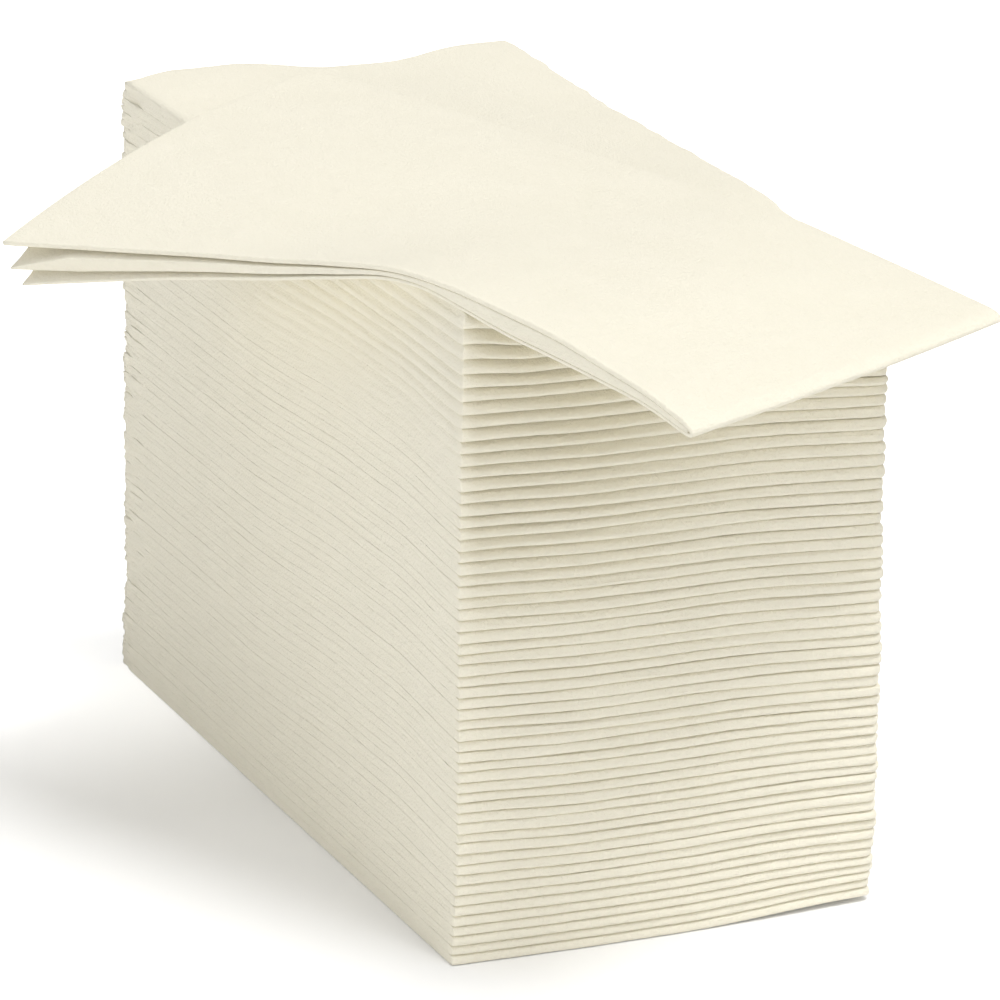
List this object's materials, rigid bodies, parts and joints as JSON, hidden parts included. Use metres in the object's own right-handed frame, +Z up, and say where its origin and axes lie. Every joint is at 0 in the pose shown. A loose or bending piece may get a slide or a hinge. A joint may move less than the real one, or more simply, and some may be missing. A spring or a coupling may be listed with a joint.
{
  "type": "stack of paper napkins",
  "caption": "Tall stack of cream paper napkins, each folded in three and then in half, with one more laid slantwise across the top so that its corners hang over the edges.",
  "frame": {"origin": "middle of the stack's underside, on the surface it stands on", "axes": "+Z up; +Y along the folded napkins from their half folds (spines) to their open ends; +X across them"},
  "size_m": [0.1774, 0.274, 0.1591],
  "materials": {
    "paper": "soft uncoated cream tissue, matt and slightly fuzzy"
  },
  "bodies": {
    "root": {"napkin_01": "paper", "napkin_02": "paper", "napkin_03": "paper", "napkin_04": "paper", "napkin_05": "paper", "napkin_06": "paper", "napkin_07": "paper", "napkin_08": "paper", "napkin_09": "paper", "napkin_10": "paper", "napkin_11": "paper", "napkin_12": "paper", "napkin_13": "paper", "napkin_14": "paper", "napkin_15": "paper", "napkin_16": "paper", "napkin_17": "paper", "napkin_18": "paper", "napkin_19": "paper", "napkin_20": "paper", "napkin_21": "paper", "napkin_22": "paper", "napkin_23": "paper", "napkin_24": "paper", "napkin_25": "paper", "napkin_26": "paper", "napkin_27": "paper", "napkin_28": "paper", "napkin_29": "paper", "napkin_30": "paper", "napkin_31": "paper", "napkin_32": "paper", "napkin_33": "paper", "napkin_34": "paper", "napkin_35": "paper", "napkin_36": "paper", "napkin_37": "paper", "napkin_38": "paper", "napkin_39": "paper", "napkin_40": "paper", "napkin_41": "paper", "napkin_42": "paper", "napkin_43": "paper", "napkin_44": "paper", "napkin_45": "paper", "napkin_46": "paper", "napkin_47": "paper", "napkin_48": "paper", "napkin_49": "paper", "napkin_50": "paper", "napkin_51": "paper", "napkin_52": "paper", "napkin_53": "paper", "napkin_54": "paper", "napkin_55": "paper", "napkin_56": "paper", "napkin_57": "paper", "top_napkin": "paper"}
  },
  "joints": []
}
